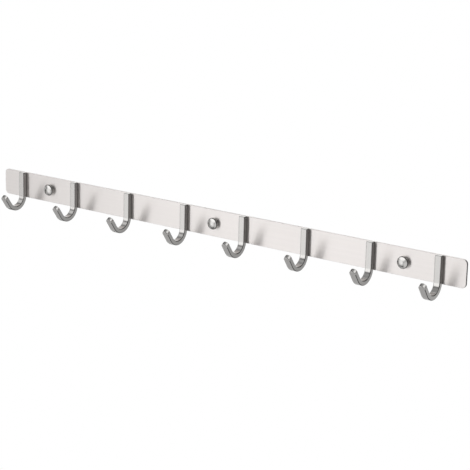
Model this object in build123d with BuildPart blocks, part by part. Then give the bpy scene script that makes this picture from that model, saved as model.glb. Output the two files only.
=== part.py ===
from build123d import *
from math import cos, radians, sin, tan
import os

# Wall hook rail: a flat steel plate with a row of bent bar hooks and three capped wall-screw holes.
# The origin is the centre of the plate's back face. X runs along the rail, +Z is up and the hooks
# stand out towards -Y. All sizes are in millimetres and all angles in degrees.

# Rows of hooks and wall holes
hook_pairs = 4
hook_pitch = 80.0
end_margin = 30.0
outer_hole_inset = 1.0

# Back plate
plate_height = 30.0
plate_thickness = 2.0
plate_corner_radius = 5.0
plate_edge_radius = 0.4
wall_hole_radius = 2.5

# Hooks, each bent from one length of flat bar
bar_width = 7.5
bar_thickness = 5.0
bar_edge_radius = 0.8
bend_radius = 11.0
bend_angle = 145.0
bend_start_height = 3.0
tip_length = 14.2

# Countersunk socket screws that hold the hooks from behind
hook_screw_spacing = 16.0
screw_radius = 1.5
screw_head_radius = 2.8
socket_radius = 1.15
socket_depth = 1.1
head_recess = 0.1
screw_clearance = 0.1
hole_front_wall = 1.4
hole_end_clearance = 0.5
sink_angle = 90.0

# Caps over the wall screws, and the countersunk seats that they push on to
cap_radius = 6.5
cap_height = 4.8
cap_crown = 0.8
cap_wall = 0.8
cap_edge_radius = 1.1
seat_clearance = 0.1
seat_edge_chamfer = 0.2
seat_sink_radius = 4.2

# Sizes worked out from those above
hook_count = 2 * hook_pairs
hook_xs = [(i - (hook_count - 1) / 2) * hook_pitch for i in range(hook_count)]
plate_length = (hook_count - 1) * hook_pitch + 2 * end_margin
outer_hole_x = (hook_pairs - 1) * hook_pitch - outer_hole_inset
wall_holes = {"left": -outer_hole_x, "middle": 0.0, "right": outer_hole_x}
plate_sink_radius = screw_head_radius + head_recess + screw_clearance
hook_hole_depth = bar_thickness - hole_front_wall
screw_length = plate_thickness - head_recess + hook_hole_depth - hole_end_clearance
head_height = (screw_head_radius - screw_radius) / tan(radians(sink_angle / 2))
cap_shoulder = cap_height - cap_crown
cap_ceiling = cap_shoulder - cap_wall
cap_bore_radius = cap_radius - cap_wall
seat_radius = cap_bore_radius - seat_clearance
seat_height = cap_ceiling - seat_clearance

# The plate's two sides, each with its normal pointing out of the plate
back_side = Plane(origin=(0, 0, 0), x_dir=(1, 0, 0), z_dir=(0, 1, 0))
front_side = Plane.XZ.offset(plate_thickness)

os.makedirs("parts", exist_ok=True)

# Back plate: round screw holes right through, countersinks for the hook screws from behind
with BuildPart() as back_plate:
    with BuildSketch(Plane.XZ):
        RectangleRounded(plate_length, plate_height, plate_corner_radius)
        with Locations(*[(x, 0) for x in wall_holes.values()]):
            Circle(wall_hole_radius, mode=Mode.SUBTRACT)
    extrude(amount=plate_thickness)
    front_rim = back_plate.faces().sort_by(Axis.Y)[0].outer_wire().edges()
    fillet(front_rim, plate_edge_radius)
    with Locations(back_side):
        with GridLocations(hook_pitch, hook_screw_spacing, hook_count, 2):
            CounterSinkHole(
                screw_radius + screw_clearance, plate_sink_radius, counter_sink_angle=sink_angle
            )
back_plate.part.label = "back_plate"
export_step(back_plate.part, "parts/back_plate.step")

# Hooks: the bar's side view is traced along its middle line, then the tip is rounded off
shank_y = -plate_thickness - bar_thickness / 2
bend_top_z = bend_start_height - plate_height / 2
middle_radius = bend_radius + bar_thickness / 2
turn = radians(bend_angle)
bend_end_y = shank_y - middle_radius * (1 - cos(turn))
bend_end_z = bend_top_z - middle_radius * sin(turn)
tip_y = bend_end_y - tip_length * sin(turn)
tip_z = bend_end_z - tip_length * cos(turn)

for number, x in enumerate(hook_xs, start=1):
    # Plane along the tip, with its Y axis pointing out of the tip's end
    tip_plane = Plane(origin=(x, tip_y, tip_z), x_dir=(1, 0, 0), z_dir=(0, cos(turn), -sin(turn)))
    with BuildPart() as hook:
        with BuildSketch(Plane.YZ.offset(x)):
            with BuildLine():
                Line((shank_y, plate_height / 2), (shank_y, bend_top_z))
                JernArc((shank_y, bend_top_z), (0, -1), middle_radius, -bend_angle)
                Line((bend_end_y, bend_end_z), (tip_y, tip_z))
            trace(line_width=bar_thickness)
        extrude(amount=bar_width / 2, both=True)
        with BuildSketch(tip_plane):
            with Locations((0, -bar_width / 2)):
                Rectangle(2 * bar_width, bar_width, align=(Align.CENTER, Align.MIN))
                Circle(bar_width / 2, mode=Mode.SUBTRACT)
        extrude(amount=bar_thickness, both=True, mode=Mode.SUBTRACT)
        top_rim = hook.faces().sort_by(Axis.Z)[-1].edges()
        flat_faces = hook.faces().filter_by(lambda face: abs(face.normal_at().X) < 0.01)
        long_edges = flat_faces.edges().filter_by(Axis.X, reverse=True)
        long_edges = long_edges.filter_by(Axis((0, 0, 0), tip_plane.z_dir), reverse=True)
        fillet(top_rim + long_edges, bar_edge_radius)
        with BuildSketch(front_side):
            with Locations((x, 0)):
                with GridLocations(hook_pitch, hook_screw_spacing, 1, 2):
                    Circle(screw_radius + screw_clearance)
        extrude(amount=hook_hole_depth, mode=Mode.SUBTRACT)
    hook.part.label = f"hook_{number}"
    export_step(hook.part, f"parts/hook_{number}.step")

# Hook screws: cone head, plain shank and hexagonal socket, two behind each hook
head_plane = back_side.offset(-head_recess)
with BuildPart() as hook_screw:
    with BuildSketch(Plane.XZ):
        with BuildLine():
            Polyline(
                (0, 0),
                (screw_head_radius, 0),
                (screw_radius, -head_height),
                (screw_radius, -screw_length),
                (0, -screw_length),
                close=True,
            )
        make_face()
    revolve(axis=Axis.Z)
    with BuildSketch(Plane.XY):
        RegularPolygon(socket_radius, side_count=6)
    extrude(amount=-socket_depth, mode=Mode.SUBTRACT)

with BuildPart() as hook_screws:
    with Locations(head_plane):
        with GridLocations(hook_pitch, hook_screw_spacing, hook_count, 2):
            add(hook_screw.part)
hook_screws.part.label = "hook_screws"
export_step(hook_screws.part, "parts/hook_screws.step")

# Screw caps and seats, one of each over every wall hole
for place, x in wall_holes.items():
    with BuildPart() as screw_cap:
        with BuildSketch(Plane(origin=(x, -plate_thickness, 0), x_dir=(1, 0, 0), z_dir=(0, 0, -1))):
            with BuildLine():
                Polyline((cap_bore_radius, 0), (cap_radius, 0), (cap_radius, cap_shoulder))
                TangentArc((0, cap_height), (cap_radius, cap_shoulder), tangent=(1, 0))
                Polyline(
                    (0, cap_height),
                    (0, cap_ceiling),
                    (cap_bore_radius, cap_ceiling),
                    (cap_bore_radius, 0),
                )
            make_face()
        revolve(axis=Axis((x, 0, 0), (0, 1, 0)))
        round_edges = screw_cap.edges().filter_by(Plane.XZ)
        shoulder_edge = round_edges.group_by(SortBy.RADIUS)[-1].sort_by(Axis.Y)[0]
        fillet(shoulder_edge, cap_edge_radius)
    screw_cap.part.label = f"screw_cap_{place}"
    export_step(screw_cap.part, f"parts/screw_cap_{place}.step")

    with BuildPart() as screw_seat:
        with BuildSketch(front_side):
            with Locations((x, 0)):
                Circle(seat_radius)
        extrude(amount=seat_height)
        chamfer(screw_seat.faces().sort_by(Axis.Y)[0].edges(), seat_edge_chamfer)
        with Locations(front_side.offset(seat_height)):
            with Locations((x, 0)):
                CounterSinkHole(wall_hole_radius, seat_sink_radius, counter_sink_angle=sink_angle)
    screw_seat.part.label = f"screw_seat_{place}"
    export_step(screw_seat.part, f"parts/screw_seat_{place}.step")
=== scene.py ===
from math import cos, radians, sin

import bpy
from mathutils import Matrix, Vector


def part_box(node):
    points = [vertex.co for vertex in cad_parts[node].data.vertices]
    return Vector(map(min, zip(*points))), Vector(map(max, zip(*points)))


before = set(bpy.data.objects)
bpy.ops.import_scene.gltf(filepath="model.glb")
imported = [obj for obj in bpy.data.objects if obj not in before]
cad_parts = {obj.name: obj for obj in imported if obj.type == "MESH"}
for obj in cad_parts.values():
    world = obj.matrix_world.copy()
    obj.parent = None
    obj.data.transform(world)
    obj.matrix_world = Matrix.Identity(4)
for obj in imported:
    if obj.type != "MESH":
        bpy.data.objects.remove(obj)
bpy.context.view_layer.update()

# Camera: where it stands as seen from the middle of the plate's front face, in metres and degrees
CAMERA_TURN = 35.64
CAMERA_RISE = 14.96
CAMERA_ROLL = 1.23
CAMERA_DISTANCE = 1.8243
CAMERA_TO_THE_RIGHT = 0.02277
CAMERA_DOWN = 0.01293
SENSOR_WIDTH = 36.0
IMAGE_WIDTH = 470
FOCAL_LENGTH_IN_PIXELS = 1675.0

# Floor: its depth under the rail and its radius in metres, and the glow that whitens it
FLOOR_DEPTH = 1.0
FLOOR_RADIUS = 1.5
FLOOR_SIDES = 96
FLOOR_COLOUR = (0.6, 0.6, 0.6)
FLOOR_GLOW = 0.55
FLOOR_GLOW_IN_METAL = 0.22

# Lamps and bright walls of the studio: degrees from the front towards the right, degrees up, degrees
# from the middle to where it begins and ends to fade, and level
STUDIO_LIGHTS = {
    "front wall": (-34, -14, 2, 17, 1.25),
    "low front wall": (-2, -23, 15, 24, 0.85),
    "front left lamp": (-28, 9, 12, 24, 1.5),
    "front right strip": (12, 12, 6, 12, 1.0),
    "front right wall": (40, -15, 20, 30, 0.12),
    "front right glow": (54, -10, 8, 19, 0.6),
    "right strip": (76, -12, 14, 24, 1.1),
    "low right wall": (100, -15, 15, 30, 0.8),
    "high right lamp": (105, 47, 20, 40, 1.2),
    "back right wall": (130, -15, 12, 30, 0.47),
    "back wall": (-172, -5, 25, 48, 1.0),
    "high back lamp": (-165, 60, 20, 40, 0.7),
    "back left lamp": (-147, 12, 9, 20, 1.15),
    "left wall": (-86, 18, 8, 23, 1.0),
    "low left wall": (-80, -15, 20, 45, 0.6),
    "high left lamp": (-69, 34, 12, 24, 0.95),
    "ceiling": (-40, 75, 30, 50, 0.35),
}
DIM_LEVEL = 0.03

# Directions
TO_THE_RIGHT = (1, 0, 0)
TO_THE_FRONT = (0, -1, 0)

# Colours of the steel
PLATE_COLOUR = (0.90, 0.86, 0.84)
HOOK_COLOUR = (0.58, 0.568, 0.555)
CAP_COLOUR = (0.615, 0.605, 0.59)
SEAT_COLOUR = (0.62, 0.61, 0.60)
SCREW_COLOUR = (0.58, 0.57, 0.56)

# Tone of the steel: how bright its darkest marks still are and how dark the painted shade on its edges is,
# the share of the broad marks, how many times longer they are than the fine ones, and the range of noise
# that tone runs through
MARK_LEVEL = 0.965
EDGE_SHADE_LEVEL = 0.1
BROAD_SHARE = 0.6
BROAD_TO_FINE = 5
TONE_RANGE = (0.3, 0.7)

# Surface of the steel: how far its roughness wanders either side of the noise's middle, how many
# clouds of it there are in a metre, how strongly its marks are felt, and the turn that lays the gloss
# across marks that run along the rail
ROUGHNESS_SPREAD = 0.05
NOISE_MIDDLE = 0.5
CLOUDS_PER_METRE = 14.0
BUMP_STRENGTH = 0.35
GLOSS_TURN = 0.25

# Painted shade on the edges: where it fades in and out, by how squarely the surface faces to the side or
# the front
BAR_EDGE_FADE_IN = (0.3, 0.5)
BAR_EDGE_FADE_OUT = (0.93, 0.995)
CAP_SHOULDER_FADE_IN = (0.15, 0.4)
CAP_SHOULDER_FADE_OUT = (0.8, 0.93)
CUT_END_FADE_IN = (0.3, 0.8)

# The hooks' round tip ends: the hooks' bend in degrees, and in metres how far from the origin along the
# tips' way the round part starts, a distance from the wall that keeps the shanks out, and a short blend
BEND_ANGLE = 145
TIP_END_START = 0.0108
BEND_MIDDLE = 0.02
SHORT_FADE = 0.0004


class Socket:
    """A node's output that can be used in sums. Every step of a sum adds a Math node."""

    def __init__(self, graph, output):
        self.graph = graph
        self.output = output

    def __add__(self, other):
        return self.graph.math("ADD", self, other)

    def __radd__(self, other):
        return self.graph.math("ADD", other, self)

    def __sub__(self, other):
        return self.graph.math("SUBTRACT", self, other)

    def __rsub__(self, other):
        return self.graph.math("SUBTRACT", other, self)

    def __mul__(self, other):
        return self.graph.math("MULTIPLY", self, other)

    def __rmul__(self, other):
        return self.graph.math("MULTIPLY", other, self)


class Graph:
    """The nodes of one material, or of the world."""

    def __init__(self, tree):
        tree.nodes.clear()
        self.tree = tree

    def node(self, kind, settings=None, values=None, out=0):
        """Adds a node, makes its settings, then fills its sockets, and gives one of its outputs."""
        made = self.tree.nodes.new(kind)
        for name, value in (settings or {}).items():
            setattr(made, name, value)
        for name, value in (values or {}).items():
            if isinstance(value, Socket):
                self.tree.links.new(value.output, made.inputs[name])
            else:
                made.inputs[name].default_value = value
        return Socket(self, made.outputs[out]) if made.outputs else None

    def math(self, operation, first, second=0.0):
        return self.node("ShaderNodeMath", {"operation": operation}, {0: first, 1: second})

    def dot(self, vector, direction):
        """How far a vector points along a fixed direction."""
        way = Vector(direction).normalized()
        return self.node("ShaderNodeVectorMath", {"operation": "DOT_PRODUCT"}, {0: vector, 1: way}, "Value")

    def facing(self, axis):
        """How squarely the surface faces one way or the other along an axis: 1 straight, 0 edge on."""
        normal = self.node("ShaderNodeTexCoord", out="Normal")
        return self.math("ABSOLUTE", self.dot(normal, axis))

    def smooth(self, value, low, high):
        """0 below low, 1 above high and smooth between them."""
        return self.node(
            "ShaderNodeMapRange",
            {"interpolation_type": "SMOOTHSTEP"},
            {"Value": value, "From Min": low, "From Max": high},
        )

    def between(self, value, fade_in, fade_out):
        """0, then 1 after the range that it fades in over, and 0 again after the one it fades out over."""
        return self.smooth(value, *fade_in) * (1 - self.smooth(value, *fade_out))

    def blend(self, factor, first, second):
        """Goes from the first colour to the second one as the factor goes from 0 to 1."""
        return self.node(
            "ShaderNodeMix",
            {"data_type": "RGBA"},
            {"Factor": factor, 6: first, 7: second},
            out=2,
        )

    def streaks(self, place, lengths, detail):
        """Noise with marks that have the given lengths on X, Y and Z."""
        stretched = self.node(
            "ShaderNodeMapping",
            values={"Vector": place, "Scale": tuple(1 / length for length in lengths)},
        )
        return self.node("ShaderNodeTexNoise", values={"Vector": stretched, "Scale": 1.0, "Detail": detail})


def rgba(colour, level=1.0):
    return (*[part * level for part in colour], 1.0)


def new_material(name):
    material = bpy.data.materials.new(name)
    material.use_nodes = True
    return material, Graph(material.node_tree)


def shaded_bar_edges(graph):
    """The bar's rounded long edges, without its tip ends, darkened with painted shade for the dark
    surroundings they mirror.
    """
    corner = graph.between(graph.facing(TO_THE_RIGHT), BAR_EDGE_FADE_IN, BAR_EDGE_FADE_OUT)
    place = graph.node("ShaderNodeTexCoord", out="Object")
    tip_way = (0, -sin(radians(BEND_ANGLE)), -cos(radians(BEND_ANGLE)))
    on_tip_end = graph.smooth(graph.dot(place, tip_way), TIP_END_START, TIP_END_START + SHORT_FADE)
    in_front = graph.smooth(graph.dot(place, TO_THE_FRONT), BEND_MIDDLE, BEND_MIDDLE + SHORT_FADE)
    return corner * (1 - on_tip_end * in_front)


def shaded_cap_shoulder(graph):
    """The round shoulder between a cap's face and its side, darkened with painted shade for the dark
    surroundings it mirrors.
    """
    return graph.between(graph.facing(TO_THE_FRONT), CAP_SHOULDER_FADE_IN, CAP_SHOULDER_FADE_OUT)


def shaded_plate_ends(graph):
    """The two ends of the plate, darkened with painted shade."""
    return graph.smooth(graph.facing(TO_THE_RIGHT), *CUT_END_FADE_IN)


def steel(name, colour, roughness, marks, depth, anisotropy=0.0, painted_shade=None):
    """Stainless steel. Its marks have given lengths on X, Y and Z and a depth, in metres, and the last
    argument is a function that gives the places where shade is painted into the colour."""
    material, graph = new_material(name)
    place = graph.node("ShaderNodeTexCoord", out="Object")
    fine = graph.streaks(place, marks, detail=2.0)
    broad = graph.streaks(place, [BROAD_TO_FINE * length for length in marks], detail=3.0)
    clouds = graph.node(
        "ShaderNodeTexNoise", values={"Vector": place, "Scale": CLOUDS_PER_METRE, "Detail": 1.0}
    )
    tone = graph.smooth(broad * BROAD_SHARE + fine * (1 - BROAD_SHARE), *TONE_RANGE)
    base = graph.blend(tone, rgba(colour, MARK_LEVEL), rgba(colour))
    # Painted shade: the places that the last argument gives take a darker copy of the colour.
    if painted_shade:
        base = graph.blend(painted_shade(graph), base, rgba(colour, EDGE_SHADE_LEVEL))
    rough = roughness + ROUGHNESS_SPREAD * (broad - NOISE_MIDDLE)
    rough = rough + ROUGHNESS_SPREAD * (clouds - NOISE_MIDDLE)
    bump = graph.node(
        "ShaderNodeBump", values={"Strength": BUMP_STRENGTH, "Distance": depth, "Height": fine}
    )
    surface = graph.node(
        "ShaderNodeBsdfPrincipled",
        values={
            "Base Color": base,
            "Metallic": 1.0,
            "Roughness": rough,
            "Anisotropic": anisotropy,
            "Anisotropic Rotation": GLOSS_TURN,
            "Normal": bump,
        },
    )
    graph.node("ShaderNodeOutputMaterial", values={"Surface": surface})
    return material


def brushed_plate():
    """The plate, brushed along its length."""
    marks = (0.09, 0.0005, 0.0005)
    return steel("brushed plate", PLATE_COLOUR, 0.34, marks, depth=4e-6, anisotropy=0.9, painted_shade=shaded_plate_ends)


def satin_bar():
    """The hooks, rubbed along the bar with a fine belt."""
    return steel("satin bar", HOOK_COLOUR, 0.17, marks=(0.0003, 0.02, 0.02), depth=5e-6, painted_shade=shaded_bar_edges)


def polished_cap():
    return steel("polished cap", CAP_COLOUR, 0.12, marks=(0.004,) * 3, depth=3e-6, painted_shade=shaded_cap_shoulder)


def turned_seat():
    return steel("turned seat", SEAT_COLOUR, 0.34, marks=(0.0006,) * 3, depth=1e-5)


def machine_screw():
    return steel("machine screw", SCREW_COLOUR, 0.32, marks=(0.001,) * 3, depth=1e-5)


def dress(nodes):
    """Gives every piece the finish of its kind, by how its name starts. The screws come before the
    hooks, because their name starts with hook too."""
    finishes = {
        "back_plate": brushed_plate(),
        "hook_screws": machine_screw(),
        "hook": satin_bar(),
        "screw_cap": polished_cap(),
        "screw_seat": turned_seat(),
    }
    for name, node in nodes.items():
        kind = next(kind for kind in finishes if name.startswith(kind))
        for slot in node.material_slots:
            slot.material = finishes[kind]


def make_floor():
    """A pale round floor under the rail, which keeps its shadow. Its glow shows in the steel too, but
    weaker, because the hooks' tips face it."""
    bpy.ops.object.select_all(action="DESELECT")
    bpy.ops.mesh.primitive_circle_add(
        vertices=FLOOR_SIDES, radius=FLOOR_RADIUS, fill_type="NGON", location=(0, 0, -FLOOR_DEPTH)
    )
    floor = bpy.context.object
    floor.name = "floor"
    material, graph = new_material("pale floor")
    matt = graph.node("ShaderNodeBsdfDiffuse", values={"Color": rgba(FLOOR_COLOUR)})
    seen = graph.node("ShaderNodeLightPath", out="Is Camera Ray") * FLOOR_GLOW
    through = graph.node("ShaderNodeLightPath", out="Is Transmission Ray") * FLOOR_GLOW
    mirrored = graph.node("ShaderNodeLightPath", out="Is Glossy Ray") * FLOOR_GLOW_IN_METAL
    strength = seen + through + mirrored
    glow = graph.node("ShaderNodeEmission", values={"Color": rgba((1, 1, 1)), "Strength": strength})
    both = graph.node("ShaderNodeAddShader", values={0: matt, 1: glow})
    graph.node("ShaderNodeOutputMaterial", values={"Surface": both})
    floor.data.materials.append(material)


def direction(azimuth, elevation):
    """The way that lies azimuth degrees from the front towards the right, and elevation degrees up."""
    turn, rise = radians(azimuth), radians(elevation)
    return (sin(turn) * cos(rise), -cos(turn) * cos(rise), sin(rise))


def light_studio():
    """Lamps and bright walls round the rail, with dim gaps between them that draw its edges. Straight
    from the camera the studio is white. The steel mirrors it as it is."""
    world = bpy.data.worlds.new("studio")
    world.use_nodes = True
    bpy.context.scene.world = world
    graph = Graph(world.node_tree)
    way = graph.node("ShaderNodeTexCoord", out="Generated")
    brightest = 0.0
    for azimuth, elevation, inner, outer, level in STUDIO_LIGHTS.values():
        along = graph.dot(way, direction(azimuth, elevation))
        lamp = level * graph.smooth(along, cos(radians(outer)), cos(radians(inner)))
        brightest = graph.math("MAXIMUM", brightest, lamp)
    studio = brightest + DIM_LEVEL
    seen = graph.node("ShaderNodeLightPath", out="Is Camera Ray")
    through = graph.node("ShaderNodeLightPath", out="Is Transmission Ray")
    strength = studio + (seen + through) * (1.0 - studio)
    light = graph.node("ShaderNodeBackground", values={"Color": rgba((1, 1, 1)), "Strength": strength})
    graph.node("ShaderNodeOutputWorld", values={"Surface": light})


def make_camera():
    """Stands the camera where the rail is seen from the right and a little from above."""
    data = bpy.data.cameras.new("camera")
    data.sensor_width = SENSOR_WIDTH
    data.lens = SENSOR_WIDTH * FOCAL_LENGTH_IN_PIXELS / IMAGE_WIDTH
    camera = bpy.data.objects.new("camera", data)
    bpy.context.scene.collection.objects.link(camera)
    turned = (
        Matrix.Rotation(radians(CAMERA_TURN), 3, "Z")
        @ Matrix.Rotation(radians(90 - CAMERA_RISE), 3, "X")
        @ Matrix.Rotation(radians(CAMERA_ROLL), 3, "Z")
    )
    plate_front = Vector((0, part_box("back_plate")[0].y, 0))
    camera.location = plate_front + turned @ Vector((CAMERA_TO_THE_RIGHT, -CAMERA_DOWN, CAMERA_DISTANCE))
    camera.rotation_euler = turned.to_euler()
    bpy.context.scene.camera = camera


dress(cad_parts)
make_floor()
light_studio()
make_camera()
bpy.context.scene.view_settings.view_transform = "Standard"
